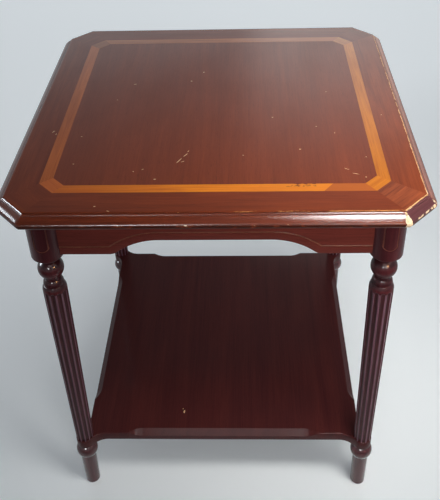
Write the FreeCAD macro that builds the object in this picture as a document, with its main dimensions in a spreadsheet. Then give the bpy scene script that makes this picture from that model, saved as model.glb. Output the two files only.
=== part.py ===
import FreeCAD, Part
import math
import os
import Sketcher
from FreeCAD import Placement, Rotation, Vector

# A square end table: an inlaid top with cut corners, four turned and fluted legs, and a low shelf.
# Millimetres. The origin is on the floor under the middle of the top, +Z is up, the front faces -Y.
document = FreeCAD.newDocument("end_table")
sizes = document.addObject("Spreadsheet::Sheet", "sizes")

DRIVING_SIZES = {
    # top: flat square with cut corners, ending at the step of the edge moulding
    "table_height": 513,
    "top_width": 450,
    "top_cut_corner": 27.4,
    "top_thickness": 16,
    "veneer_thickness": 1,
    "crossband_width": 34.2,
    "inlay_width": 13.5,
    "inlay_cut_corner": 17.6,
    "field_cut_corner": 14.2,
    # edge moulding: a lipping that runs a little way under the crossband
    "lipping_tongue": 4,
    "edge_overhang": 11,
    "edge_step": 1.8,
    "nose_radius": 4.7,
    # legs: turned head, ball, collar and bead with a groove between them, fluted tapering shaft
    "leg_inset": 34.5,
    "head_radius": 19,
    "head_length": 69,
    "head_rounding": 2,
    "neck_radius": 9.5,
    "neck_cove": 3,
    "ball_radius": 15.2,
    "ball_drop": 20.5,
    "collar_drop": 16,
    "collar_top_radius": 9.8,
    "collar_radius": 12.2,
    "collar_height": 7.3,
    "ring_height": 1.4,
    "ring_depth": 0.6,
    "bead_height": 7.4,
    "shaft_top_radius": 14.4,
    "shaft_foot_radius": 11.5,
    "flute_count": 12,
    "flute_drop": 2,
    "flute_top_radius": 3.4,
    "flute_foot_radius": 2.6,
    "flute_depth": 1.7,
    # U line cut round the two outer sides of a leg head
    "panel_line_width": 1.6,
    "panel_line_depth": 0.8,
    "panel_half_width": 7.7,
    "panel_sag": 4.5,
    "panel_rise": 16.8,
    # aprons: arched rails let into flats on the leg heads
    "apron_thickness": 18,
    "apron_height": 64,
    "apron_seat": 14,
    "arch_shoulder": 72,
    "arch_rise": 20,
    "ogee_run": 56.5,
    "ogee_foot_radius": 13.5,
    "scribe_offset": 11.3,
    "scribe_width": 2,
    "scribe_depth": 1,
    # shelf: round lobes at the legs, hollowed corners, stopped chamfers
    "shelf_top": 97,
    "shelf_thickness": 14.5,
    "shelf_setback": 3.5,
    "lobe_radius": 12,
    "lobe_hollow": 26,
    "chamfer_width": 8,
    "chamfer_depth": 6.5,
    "chamfer_stop": 59.5,
    "chamfer_runout": 20,
    # feet: a ball cut off flat under the shelf, and a plain tapered foot
    "foot_ball_radius": 14.7,
    "foot_ball_drop": 11.5,
    "foot_top_radius": 10.6,
    "foot_end_radius": 9.8,
    "foot_rounding": 1.5,
    # hidden fastenings
    "clearance": 0.2,
    "dowel_radius": 3,
    "dowel_length": 28,
    "dowel_in_leg": 8,
    "dowel_low": 16,
    "dowel_pitch": 32,
    "stud_radius": 4,
    "stud_in_leg": 35,
    "stud_in_foot": 30,
    "block_reach": 60,
    "block_inset": 30,
    "block_height": 22,
    "screw_radius": 2,
    "screw_head_radius": 4,
    "screw_head_height": 2.4,
    "screw_in_top": 8,
}

for row, (name, number) in enumerate(DRIVING_SIZES.items(), start=1):
    sizes.set(f"A{row}", name)
    sizes.set(f"B{row}", str(number))
    sizes.setAlias(f"B{row}", name)
document.recompute()

# Heights and distances that several pieces share, worked out from the sheet.
UNDERSIDE = "(sizes.table_height - sizes.top_thickness)"
CORE_TOP = "(sizes.table_height - sizes.veneer_thickness)"
LEG_AXIS = "(sizes.top_width / 2 - sizes.leg_inset)"
APRON_BOTTOM = f"({UNDERSIDE} - sizes.apron_height)"
APRON_END = f"({LEG_AXIS} - sizes.apron_seat)"
APRON_FACE = f"({LEG_AXIS} + sizes.apron_thickness / 2)"
APRON_BACK = f"({LEG_AXIS} - sizes.apron_thickness / 2)"
SHELF_BOTTOM = "(sizes.shelf_top - sizes.shelf_thickness)"
SHELF_HALF = f"({LEG_AXIS} - sizes.shelf_setback)"
DOWEL_HEIGHTS = (f"{APRON_BOTTOM} + sizes.dowel_low",
                 f"{APRON_BOTTOM} + sizes.dowel_low + sizes.dowel_pitch")
DOWEL_HOLE = "sizes.dowel_radius + sizes.clearance"
DOWEL_IN_APRON = "(sizes.dowel_length - sizes.dowel_in_leg)"
STUD_HOLE = "sizes.stud_radius + sizes.clearance"

# Turns that carry a front piece round to each side, and a front left piece round to each corner.
SIDE_TURNS = {"front": 0, "right": 90, "back": 180, "left": 270}
CORNER_TURNS = {"front_left": 0, "front_right": 90, "back_right": 180, "back_left": 270}
CORNER_SIGNS = {"front_left": (-1, -1), "front_right": (1, -1), "back_right": (1, 1), "back_left": (-1, 1)}
CANT_LEAD = -45
CORNERS = str(len(CORNER_TURNS))
UP = Vector(0, 0, 1)
SAME_PLACE = 0.01

sub_parts = []


def value(expression):
    return float(sizes.evalExpression(expression))


def turned(angle):
    return Placement(Vector(0, 0, 0), Rotation(UP, angle))


def new_body(label):
    body = document.addObject("PartDesign::Body", label)
    body.Label = label
    return body


def origin_feature(body, role):
    return next(feature for feature in body.Origin.OriginFeatures if feature.Role == role)


def new_sketch(body, name, plane, offset=None):
    """A sketch on one of the body's own planes, moved along its normal by an expression."""
    sketch = body.newObject("Sketcher::SketchObject", name)
    sketch.AttachmentSupport = (origin_feature(body, plane), [""])
    sketch.MapMode = "FlatFace"
    if offset:
        sketch.setExpression("AttachmentOffset.Base.z", offset)
    return sketch


def pin(sketch, geometry, vertex, x, y):
    """Hold a sketch point at two expressions, measured from the sketch's origin."""
    for kind, expression in (("DistanceX", x), ("DistanceY", y)):
        constraint = Sketcher.Constraint(kind, -1, 1, geometry, vertex, value(expression))
        index = sketch.addConstraint(constraint)
        sketch.setExpression(f"Constraints[{index}]", expression)


def hold_radius(sketch, geometry, expression):
    index = sketch.addConstraint(Sketcher.Constraint("Radius", geometry, value(expression)))
    sketch.setExpression(f"Constraints[{index}]", expression)


def arc_between(start, end, radius, bend):
    """The short arc from start to end; bend +1 turns left on the way, -1 turns right."""
    chord = end - start
    middle = start + chord * 0.5
    left = Vector(-chord.y, chord.x, 0).normalize()
    centre = middle + left * bend * math.sqrt(max(radius ** 2 - (chord.Length / 2) ** 2, 0))
    first = start if bend > 0 else end
    last = end if bend > 0 else start
    from_angle = math.atan2(first.y - centre.y, first.x - centre.x)
    to_angle = math.atan2(last.y - centre.y, last.x - centre.x)
    return Part.ArcOfCircle(Part.Circle(centre, UP, radius), from_angle, to_angle)


def draw(sketch, corners, bends=None, closed=True):
    """Lines from corner to corner, each corner held by two expressions.
    bends maps an edge's number to its radius and its turn, +1 left or -1 right."""
    bends = bends or {}
    points = [Vector(value(x), value(y), 0) for x, y in corners]
    edge_count = len(points) if closed else len(points) - 1
    ends = []
    for number in range(edge_count):
        start = points[number]
        end = points[(number + 1) % len(points)]
        if number in bends:
            radius, bend = bends[number]
            geometry = sketch.addGeometry(arc_between(start, end, value(radius), bend))
            ends.append((geometry, 1, 2) if bend > 0 else (geometry, 2, 1))
            hold_radius(sketch, geometry, radius)
        else:
            geometry = sketch.addGeometry(Part.LineSegment(start, end))
            ends.append((geometry, 1, 2))
    for number, (geometry, start_vertex, end_vertex) in enumerate(ends):
        pin(sketch, geometry, start_vertex, *corners[number])
        if closed or number + 1 < edge_count:
            following = ends[(number + 1) % edge_count]
            meeting = Sketcher.Constraint("Coincident", geometry, end_vertex, following[0], following[1])
            sketch.addConstraint(meeting)
        else:
            pin(sketch, geometry, end_vertex, *corners[-1])
    return ends


def bow_radius(half_chord, sag):
    """Radius of an arc from half its chord and how far it bows out from that chord."""
    return f"(({half_chord} ^ 2 + {sag} ^ 2) / (2 * {sag}))"


def draw_circle(sketch, x, y, radius):
    circle = Part.Circle(Vector(value(x), value(y), 0), UP, value(radius))
    geometry = sketch.addGeometry(circle)
    pin(sketch, geometry, 3, x, y)
    hold_radius(sketch, geometry, radius)


def add_feature(body, kind, name, profile, **properties):
    """A sketch-based feature on the body; an expression given as text is bound to its property."""
    feature = body.newObject(f"PartDesign::{kind}", name)
    feature.Profile = profile
    for key, setting in properties.items():
        if isinstance(setting, str) and key not in ("Type", "SideType"):
            feature.setExpression(key, setting)
        else:
            setattr(feature, key, setting)
    body.Tip = feature
    return feature


def spin(body, kind, name, profile, axis=None):
    """A whole turn of a profile about the body's upright axis, or about an axis of the sketch."""
    reference = (profile, [axis]) if axis else (origin_feature(body, "Z_Axis"), [""])
    return add_feature(body, kind, name, profile, ReferenceAxis=reference, Angle=360.0)


def repeat_round(body, name, feature, count):
    """Copies of a feature spaced evenly round the body's upright axis."""
    pattern = body.newObject("PartDesign::PolarPattern", name)
    pattern.Originals = [feature]
    pattern.Axis = (origin_feature(body, "Z_Axis"), [""])
    pattern.Angle = 360.0
    pattern.setExpression("Occurrences", count)
    body.Tip = pattern
    return pattern


def keep(piece, label):
    piece.Label = label
    sub_parts.append(piece)
    return piece


def place_at_corner(piece, corner, reach):
    """Turn a front left piece to its corner and move it out along both axes by an expression."""
    piece.Placement = turned(CORNER_TURNS[corner])
    sign_x, sign_y = CORNER_SIGNS[corner]
    piece.setExpression("Placement.Base.x", f"{sign_x} * {reach}")
    piece.setExpression("Placement.Base.y", f"{sign_y} * {reach}")


def octagon(half, cut):
    """Corners of a square with cut corners, anticlockwise from the left end of the front."""
    run = f"({half} - {cut})"
    return [(f"-{run}", f"-{half}"), (run, f"-{half}"), (half, f"-{run}"), (half, run),
            (run, half), (f"-{run}", half), (f"-{half}", run), (f"-{half}", f"-{run}")]


# The top's layers are squares with cut corners, one inside the other: half width and cut.
# Moving a side and its cut corner out by the same distance lengthens the cut by this share of it.
CUT_GROWTH = 2 - math.sqrt(2)
FLAT = ("(sizes.top_width / 2)", "sizes.top_cut_corner")
CORE = ("(sizes.top_width / 2 - sizes.lipping_tongue)",
        f"(sizes.top_cut_corner - {CUT_GROWTH} * sizes.lipping_tongue)")
NOSE = ("(sizes.top_width / 2 + sizes.edge_overhang)",
        f"(sizes.top_cut_corner + {CUT_GROWTH} * sizes.edge_overhang)")
INLAY = ("(sizes.top_width / 2 - sizes.crossband_width)", "sizes.inlay_cut_corner")
FIELD = ("(sizes.top_width / 2 - sizes.crossband_width - sizes.inlay_width)", "sizes.field_cut_corner")


def side_strip(outer, inner):
    """Front strip between two outlines: its half lengths and distances from the middle."""
    return f"({outer[0]} - {outer[1]})", f"({inner[0]} - {inner[1]})", outer[0], inner[0]


def cant_strip(outer, inner):
    """The same for the strip across a cut corner, seen square on."""
    return (f"({outer[1]} / sqrt(2))", f"({inner[1]} / sqrt(2))",
            f"((2 * {outer[0]} - {outer[1]}) / sqrt(2))", f"((2 * {inner[0]} - {inner[1]}) / sqrt(2))")


def mitred_strip(label, strip, bottom, thickness, angle):
    """A strip whose ends are mitred to meet its neighbours on the way round the top."""
    outer_half, inner_half, outer_reach, inner_reach = strip
    body = new_body(label)
    plan = new_sketch(body, f"{label}_plan", "XY_Plane", bottom)
    draw(plan, [(f"-{outer_half}", f"-{outer_reach}"), (outer_half, f"-{outer_reach}"),
                (inner_half, f"-{inner_reach}"), (f"-{inner_half}", f"-{inner_reach}")])
    add_feature(body, "Pad", f"{label}_board", plan, Length=thickness)
    body.Placement = turned(angle)
    return body


def ring_of_strips(name, outer, inner, bottom, thickness):
    """Eight mitred strips: four along the sides and four across the cut corners."""
    strips = []
    for side, angle in SIDE_TURNS.items():
        label = f"{name}_{side}"
        body = mitred_strip(label, side_strip(outer, inner), bottom, thickness, angle)
        strips.append((body, label, outer[0]))
    for corner, angle in CORNER_TURNS.items():
        label = f"{name}_{corner}"
        strip = cant_strip(outer, inner)
        body = mitred_strip(label, strip, bottom, thickness, angle + CANT_LEAD)
        strips.append((body, label, strip[2]))
    return strips


def run_moulding(body, label, nose_reach):
    """Shape a lipping's outer edge: a small step, a sloping face and a round nose."""
    waste = new_sketch(body, f"{label}_profile", "YZ_Plane")
    outside = f"(-{nose_reach} - sizes.edge_overhang)"
    step_y = f"(-{nose_reach} + sizes.edge_overhang)"
    step_z = "(sizes.table_height - sizes.edge_step)"
    nose_y = f"(-{nose_reach} + sizes.nose_radius)"
    nose_z = f"({UNDERSIDE} + sizes.nose_radius)"
    radius = value("sizes.nose_radius")
    foot = Vector(value(step_y), value(step_z), 0)
    centre = Vector(value(nose_y), value(nose_z), 0)
    away = centre - foot
    lean = math.atan2(away.y, away.x) - math.asin(radius / away.Length)
    slope = Vector(math.cos(lean), math.sin(lean), 0)
    touch = foot + slope * math.sqrt(away.Length ** 2 - radius ** 2)
    lowest = Vector(centre.x, centre.y - radius, 0)
    above = "sizes.table_height"
    below = f"({UNDERSIDE} - sizes.nose_radius)"
    rim = [(nose_y, UNDERSIDE), (nose_y, below), (outside, below), (outside, above),
           (step_y, above), (step_y, step_z)]
    edges = draw(waste, rim, closed=False)
    face = waste.addGeometry(Part.LineSegment(foot, touch))
    nose = waste.addGeometry(Part.ArcOfCircle(
        Part.Circle(centre, UP, radius),
        math.atan2(touch.y - centre.y, touch.x - centre.x) % (2 * math.pi),
        math.atan2(lowest.y - centre.y, lowest.x - centre.x) % (2 * math.pi)))
    waste.addConstraint(Sketcher.Constraint("Coincident", edges[-1][0], 2, face, 1))
    waste.addConstraint(Sketcher.Constraint("Tangent", face, 2, nose, 1))
    waste.addConstraint(Sketcher.Constraint("Coincident", nose, 2, edges[0][0], 1))
    pin(waste, nose, 3, nose_y, nose_z)
    add_feature(body, "Pocket", f"{label}_moulding", waste, Type="ThroughAll", SideType="Symmetric")


# Top: a core board with a backing veneer below, and the edge mouldings mitred round it.
def board_of(label, outline, bottom, thickness):
    body = new_body(label)
    plan = new_sketch(body, f"{label}_plan", "XY_Plane", bottom)
    draw(plan, octagon(*outline))
    add_feature(body, "Pad", f"{label}_board", plan, Length=thickness)
    return body


BLOCK_MIDDLE = f"({APRON_BACK} - (sizes.block_reach + sizes.block_inset) / 4)"


def drill_at_blocks(body, bottom, depth):
    """Upward holes for the four top screws, one over the middle of each corner block."""
    holes = new_sketch(body, f"{body.Label}_screw_holes", "XY_Plane", bottom)
    for sign_x, sign_y in CORNER_SIGNS.values():
        draw_circle(holes, f"{sign_x} * {BLOCK_MIDDLE}", f"{sign_y} * {BLOCK_MIDDLE}",
                    "sizes.screw_radius + sizes.clearance")
    add_feature(body, "Pocket", f"{body.Label}_drilling", holes, Length=depth, Reversed=True)


BACKING_TOP = f"({UNDERSIDE} + sizes.veneer_thickness)"
core = board_of("top_core", CORE, BACKING_TOP, f"{CORE_TOP} - {BACKING_TOP}")
drill_at_blocks(core, BACKING_TOP, "sizes.screw_in_top - sizes.veneer_thickness + sizes.clearance")
keep(core, "top_core")
backing = board_of("top_backing_veneer", CORE, UNDERSIDE, "sizes.veneer_thickness")
drill_at_blocks(backing, UNDERSIDE, "sizes.veneer_thickness")
keep(backing, "top_backing_veneer")
LIPPING_HEIGHT = f"{CORE_TOP} - {UNDERSIDE}"
for moulding, label, nose_reach in ring_of_strips("edge_moulding", NOSE, CORE, UNDERSIDE, LIPPING_HEIGHT):
    run_moulding(moulding, label, nose_reach)
    keep(moulding, label)

# Veneers on the core: the field, the inlay band round it and the crossband out to the step.
keep(board_of("top_field_veneer", FIELD, CORE_TOP, "sizes.veneer_thickness"), "top_field_veneer")
for strip, label, reach in ring_of_strips("inlay", INLAY, FIELD, CORE_TOP, "sizes.veneer_thickness"):
    keep(strip, label)
for strip, label, reach in ring_of_strips("crossband", FLAT, INLAY, CORE_TOP, "sizes.veneer_thickness"):
    keep(strip, label)

# Legs: turned in one piece, then fluted, with flats and holes for two aprons.
# A leg is drawn on its own axis, at the front left, with its aprons towards +X and +Y.
HEAD_BOTTOM = f"({UNDERSIDE} - sizes.head_length)"
BALL_MIDDLE = f"({HEAD_BOTTOM} - sizes.ball_drop)"
BALL_REACH = "sqrt(sizes.ball_radius ^ 2 - sizes.neck_radius ^ 2)"
COLLAR_TOP = f"({BALL_MIDDLE} - sizes.collar_drop)"
RING_TOP = f"({COLLAR_TOP} - sizes.collar_height)"
RING_BOTTOM = f"({RING_TOP} - sizes.ring_height)"
SHAFT_TOP = f"({RING_BOTTOM} - sizes.bead_height)"
FLUTE_TOP = f"({SHAFT_TOP} - sizes.flute_drop)"


def turn_leg(body, label):
    profile = new_sketch(body, f"{label}_turning", "XZ_Plane")
    head_edge = "(sizes.head_radius - sizes.head_rounding)"
    corners = [
        ("0", "sizes.shelf_top"),
        ("sizes.shaft_foot_radius", "sizes.shelf_top"),
        ("sizes.shaft_top_radius", SHAFT_TOP),
        ("sizes.collar_radius", RING_BOTTOM),
        ("sizes.collar_radius", RING_TOP),
        ("sizes.collar_top_radius", COLLAR_TOP),
        ("sizes.neck_radius", COLLAR_TOP),
        ("sizes.neck_radius", f"{BALL_MIDDLE} - {BALL_REACH}"),
        ("sizes.ball_radius", BALL_MIDDLE),
        ("sizes.neck_radius", f"{BALL_MIDDLE} + {BALL_REACH}"),
        ("sizes.neck_radius", f"{HEAD_BOTTOM} - sizes.neck_cove"),
        ("sizes.neck_radius + sizes.neck_cove", HEAD_BOTTOM),
        (head_edge, HEAD_BOTTOM),
        ("sizes.head_radius", f"{HEAD_BOTTOM} + sizes.head_rounding"),
        ("sizes.head_radius", UNDERSIDE),
        ("0", UNDERSIDE),
    ]
    bends = {
        2: (bow_radius("sizes.bead_height", "(sizes.shaft_top_radius - sizes.collar_radius)"), 1),
        3: (bow_radius("(sizes.ring_height / 2)", "sizes.ring_depth"), -1),
        4: (bow_radius("sizes.collar_height", "(sizes.collar_radius - sizes.collar_top_radius)"), 1),
        7: ("sizes.ball_radius", 1),
        8: ("sizes.ball_radius", 1),
        10: ("sizes.neck_cove", -1),
        12: ("sizes.head_rounding", 1),
    }
    draw(profile, corners, bends)
    spin(body, "Revolution", f"{label}_blank", profile)


def flute_leg(body, label):
    """Hollow flutes that follow the taper: round at the top, running out over the foot of the shaft."""
    cutter = new_sketch(body, f"{label}_flute", "XZ_Plane")
    top_x = "(sizes.shaft_top_radius + sizes.flute_top_radius - sizes.flute_depth)"
    foot_x = "(sizes.shaft_foot_radius + sizes.flute_foot_radius - sizes.flute_depth)"
    past_end = "(sizes.shelf_top - sizes.flute_foot_radius)"
    corners = [
        (top_x, f"{FLUTE_TOP} + sizes.flute_top_radius"),
        (f"{top_x} - sizes.flute_top_radius", FLUTE_TOP),
        (f"{foot_x} - sizes.flute_foot_radius", past_end),
        (foot_x, past_end),
        (top_x, FLUTE_TOP),
    ]
    draw(cutter, corners, {0: ("sizes.flute_top_radius", 1)})
    axis = cutter.addGeometry(Part.LineSegment(*(Vector(value(x), value(y), 0) for x, y in corners[3:])))
    cutter.setConstruction(axis, True)
    pin(cutter, axis, 1, *corners[3])
    pin(cutter, axis, 2, *corners[4])
    flute = spin(body, "Groove", f"{label}_flute_cut", cutter, "Axis0")
    repeat_round(body, f"{label}_flutes", flute, "sizes.flute_count")


def joint_leg(body, label):
    """Flats for two aprons, the dowel holes in them, and the stud hole in the foot of the shaft."""
    flats = new_sketch(body, f"{label}_flats", "XY_Plane", UNDERSIDE)
    half = "(sizes.apron_thickness / 2)"
    past = "(sizes.head_radius + sizes.apron_thickness)"
    seat = "sizes.apron_seat"
    draw(flats, [(seat, f"-{half}"), (past, f"-{half}"), (past, half), (seat, half)])
    draw(flats, [(f"-{half}", seat), (half, seat), (half, past), (f"-{half}", past)])
    add_feature(body, "Pocket", f"{label}_apron_seats", flats, Length="sizes.apron_height")
    for plane, offset, reverse in (("YZ_Plane", seat, False), ("XZ_Plane", f"-{seat}", True)):
        holes = new_sketch(body, f"{label}_dowels_{plane[:2]}", plane, offset)
        for height in DOWEL_HEIGHTS:
            draw_circle(holes, "0", height, DOWEL_HOLE)
        add_feature(body, "Pocket", f"{label}_dowel_holes_{plane[:2]}", holes,
                    Length="sizes.dowel_in_leg + sizes.clearance", Reversed=reverse)
    stud = new_sketch(body, f"{label}_stud", "XY_Plane", "sizes.shelf_top")
    draw_circle(stud, "0", "0", STUD_HOLE)
    add_feature(body, "Pocket", f"{label}_stud_hole", stud,
                Length="sizes.stud_in_leg + sizes.clearance", Reversed=True)


def panel_line_cutter(label, angle):
    """A U-shaped blade that reaches just under the surface of a leg head."""
    blade = new_body(label)
    outline = new_sketch(blade, f"{label}_outline", "XZ_Plane")
    outer = "(sizes.panel_half_width + sizes.panel_line_width / 2)"
    inner = "(sizes.panel_half_width - sizes.panel_line_width / 2)"
    line_end = f"({HEAD_BOTTOM} + sizes.panel_rise + sizes.panel_sag)"
    radius = bow_radius("sizes.panel_half_width", "sizes.panel_sag")
    past = f"({UNDERSIDE} + sizes.panel_line_width)"
    draw(outline, [(f"-{outer}", past), (f"-{outer}", line_end), (outer, line_end), (outer, past),
                   (inner, past), (inner, line_end), (f"-{inner}", line_end), (f"-{inner}", past)],
         {1: (f"({radius} + sizes.panel_line_width / 2)", 1), 5: (f"({radius} - sizes.panel_line_width / 2)", -1)})
    add_feature(blade, "Pad", f"{label}_blade", outline, Length="sizes.head_radius + sizes.panel_line_depth")
    hollow = new_sketch(blade, f"{label}_hollow", "XY_Plane", HEAD_BOTTOM)
    draw_circle(hollow, "0", "0", "sizes.head_radius - sizes.panel_line_depth")
    add_feature(blade, "Pocket", f"{label}_depth", hollow, Length="sizes.head_length * 2", Reversed=True)
    blade.Placement = turned(angle)
    return blade


for corner in CORNER_TURNS:
    label = f"leg_{corner}"
    turning = new_body(f"{label}_turned")
    turn_leg(turning, label)
    flute_leg(turning, label)
    joint_leg(turning, label)
    lined = turning
    for side, angle in (("front", 0), ("side", -90)):
        cut = document.addObject("Part::Cut", f"{label}_{side}_lined")
        cut.Base = lined
        cut.Tool = panel_line_cutter(f"{label}_{side}_line", angle)
        lined = cut
    place_at_corner(lined, corner, LEG_AXIS)
    keep(lined, label)

# Shelf: a board between the legs and their feet, with a round lobe under each leg.
def lobe_meetings(shape):
    """Upright edges where a lobe meets a straight edge of the shelf."""
    half = value(SHELF_HALF)
    meeting = value(f"{LEG_AXIS} - sqrt(sizes.lobe_radius ^ 2 - sizes.shelf_setback ^ 2)")
    names = []
    for number, edge in enumerate(shape.Edges, start=1):
        middle = edge.CenterOfMass
        near, far = sorted((abs(middle.x), abs(middle.y)))
        if abs(near - meeting) < SAME_PLACE and abs(far - half) < SAME_PLACE:
            names.append(f"Edge{number}")
    return names


def cut_stopped_chamfers(body):
    """A chamfer along each top edge that curves out to a point before it reaches the lobes."""
    run = new_sketch(body, "shelf_chamfer_run", "XY_Plane")
    lean = 90 + math.degrees(math.atan2(value("sizes.chamfer_depth"), value("sizes.chamfer_width")))
    run.AttachmentOffset = Placement(Vector(0, 0, 0), Rotation(Vector(1, 0, 0), lean))
    run.setExpression("AttachmentOffset.Base.y", f"-{SHELF_HALF}")
    run.setExpression("AttachmentOffset.Base.z", "sizes.shelf_top")
    slope = "sqrt(sizes.chamfer_width ^ 2 + sizes.chamfer_depth ^ 2)"
    depth = f"(sizes.chamfer_width * sizes.chamfer_depth / {slope})"
    end = f"({LEG_AXIS} - sizes.chamfer_stop)"
    full = f"({end} - sizes.chamfer_runout)"
    curve = bow_radius("sizes.chamfer_runout", depth)
    draw(run, [(f"-{full}", f"-{depth}"), (full, f"-{depth}"), (end, "0"), (end, depth),
               (f"-{end}", depth), (f"-{end}", "0")], {1: (curve, 1), 5: (curve, 1)})
    cut = add_feature(body, "Pocket", "shelf_chamfer", run, Type="ThroughAll", SideType="Symmetric")
    repeat_round(body, "shelf_chamfers", cut, CORNERS)


shelf = new_body("shelf_board")
shelf_plan = new_sketch(shelf, "shelf_plan", "XY_Plane", SHELF_BOTTOM)
draw(shelf_plan, [(f"-{SHELF_HALF}", f"-{SHELF_HALF}"), (SHELF_HALF, f"-{SHELF_HALF}"),
                  (SHELF_HALF, SHELF_HALF), (f"-{SHELF_HALF}", SHELF_HALF)])
add_feature(shelf, "Pad", "shelf_square", shelf_plan, Length="sizes.shelf_thickness")
lobe_plan = new_sketch(shelf, "shelf_lobe_plan", "XY_Plane", SHELF_BOTTOM)
draw_circle(lobe_plan, f"-{LEG_AXIS}", f"-{LEG_AXIS}", "sizes.lobe_radius")
lobe = add_feature(shelf, "Pad", "shelf_lobe", lobe_plan, Length="sizes.shelf_thickness")
lobes = repeat_round(shelf, "shelf_lobes", lobe, CORNERS)
document.recompute()
hollows = shelf.newObject("PartDesign::Fillet", "shelf_hollows")
hollows.Base = (lobes, lobe_meetings(lobes.Shape))
hollows.setExpression("Radius", "sizes.lobe_hollow")
shelf.Tip = hollows
document.recompute()
cut_stopped_chamfers(shelf)
stud_plan = new_sketch(shelf, "shelf_stud_plan", "XY_Plane", SHELF_BOTTOM)
for sign_x, sign_y in CORNER_SIGNS.values():
    draw_circle(stud_plan, f"{sign_x} * {LEG_AXIS}", f"{sign_y} * {LEG_AXIS}", STUD_HOLE)
add_feature(shelf, "Pocket", "shelf_stud_holes", stud_plan, Length="sizes.shelf_thickness", Reversed=True)
keep(shelf, "shelf_board")

# Feet: turned below the shelf, a ball cut off flat where it meets the board.
FOOT_BALL = f"({SHELF_BOTTOM} - sizes.foot_ball_drop)"
for corner in CORNER_TURNS:
    label = f"foot_{corner}"
    foot = new_body(label)
    profile = new_sketch(foot, f"{label}_turning", "XZ_Plane")
    draw(profile, [
        ("0", "0"),
        ("sizes.foot_end_radius - sizes.foot_rounding", "0"),
        ("sizes.foot_end_radius", "sizes.foot_rounding"),
        ("sizes.foot_top_radius", f"{FOOT_BALL} - sqrt(sizes.foot_ball_radius ^ 2 - sizes.foot_top_radius ^ 2)"),
        ("sizes.foot_ball_radius", FOOT_BALL),
        ("sqrt(sizes.foot_ball_radius ^ 2 - sizes.foot_ball_drop ^ 2)", SHELF_BOTTOM),
        ("0", SHELF_BOTTOM),
    ], {1: ("sizes.foot_rounding", 1), 3: ("sizes.foot_ball_radius", 1), 4: ("sizes.foot_ball_radius", 1)})
    spin(foot, "Revolution", f"{label}_blank", profile)
    stud_hole = new_sketch(foot, f"{label}_stud", "XY_Plane", SHELF_BOTTOM)
    draw_circle(stud_hole, "0", "0", STUD_HOLE)
    add_feature(foot, "Pocket", f"{label}_stud_hole", stud_hole, Length="sizes.stud_in_foot + sizes.clearance")
    place_at_corner(foot, corner, LEG_AXIS)
    keep(foot, label)

# Aprons: sawn from board, arched between two ogees, with a line scribed parallel to the arch.
OGEE_END = f"({LEG_AXIS} - sizes.arch_shoulder)"
ARCH_HALF = f"({OGEE_END} - sizes.ogee_run)"
OGEE_RADII = "((sizes.ogee_run ^ 2 + sizes.arch_rise ^ 2) / (2 * sizes.arch_rise))"


def arch_line(offset, end):
    """The apron's lower edge from left to right, raised square to itself by an expression.
    Gives its corners and the radius and turn of each bent stretch."""
    foot_radius = f"(sizes.ogee_foot_radius - {offset})"
    arch_radius = f"({OGEE_RADII} - sizes.ogee_foot_radius + {offset})"
    share = f"({foot_radius} / {OGEE_RADII})"
    turn_x = f"({OGEE_END} - sizes.ogee_run * {share})"
    low = f"({APRON_BOTTOM} + {offset})"
    turn_z = f"({low} + sizes.arch_rise * {share})"
    high = f"({low} + sizes.arch_rise)"
    right = [(ARCH_HALF, high), (turn_x, turn_z), (OGEE_END, low), (end, low)]
    left = [(f"-{x}", z) for x, z in reversed(right)]
    bends = {1: (foot_radius, 1), 2: (arch_radius, -1), 4: (arch_radius, -1), 5: (foot_radius, 1)}
    return left + right, bends


def scribe(body, label):
    """A V-shaped line along the apron's face, run out past both ends."""
    start = f"({APRON_END} + sizes.scribe_width)"
    path = new_sketch(body, f"{label}_scribe_path", "XZ_Plane", APRON_FACE)
    corners, bends = arch_line("sizes.scribe_offset", start)
    draw(path, corners, bends, closed=False)
    blade = new_sketch(body, f"{label}_scribe_blade", "YZ_Plane", f"-{start}")
    height = f"({APRON_BOTTOM} + sizes.scribe_offset)"
    proud = f"(-{APRON_FACE} - sizes.scribe_depth)"
    draw(blade, [(f"(-{APRON_FACE} + sizes.scribe_depth)", height),
                 (proud, f"{height} + sizes.scribe_width"), (proud, f"{height} - sizes.scribe_width")])
    document.recompute()
    groove = body.newObject("PartDesign::SubtractivePipe", f"{label}_scribe")
    groove.Profile = blade
    groove.Spine = (path, [f"Edge{number}" for number in range(1, len(corners))])
    body.Tip = groove


for side, angle in SIDE_TURNS.items():
    label = f"apron_{side}"
    apron = new_body(label)
    face = new_sketch(apron, f"{label}_face", "XZ_Plane", APRON_FACE)
    corners, bends = arch_line("0", APRON_END)
    draw(face, corners + [(APRON_END, UNDERSIDE), (f"-{APRON_END}", UNDERSIDE)], bends)
    add_feature(apron, "Pad", f"{label}_board", face, Length="sizes.apron_thickness", Reversed=True)
    scribe(apron, label)
    for end, offset, reverse in (("right", APRON_END, False), ("left", f"-{APRON_END}", True)):
        holes = new_sketch(apron, f"{label}_{end}_dowels", "YZ_Plane", offset)
        for height in DOWEL_HEIGHTS:
            draw_circle(holes, f"-{LEG_AXIS}", height, DOWEL_HOLE)
        add_feature(apron, "Pocket", f"{label}_{end}_dowel_holes", holes,
                    Length=f"{DOWEL_IN_APRON} + sizes.clearance", Reversed=reverse)
    apron.Placement = turned(angle)
    keep(apron, label)


# Fastenings: like pieces are kept together as one group of separate solids.
def rod(name, radius, length):
    cylinder = document.addObject("Part::Cylinder", name)
    cylinder.setExpression("Radius", radius)
    cylinder.setExpression("Height", length)
    return cylinder


def group(label, pieces):
    compound = document.addObject("Part::Compound", label)
    compound.Links = pieces
    return compound


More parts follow.
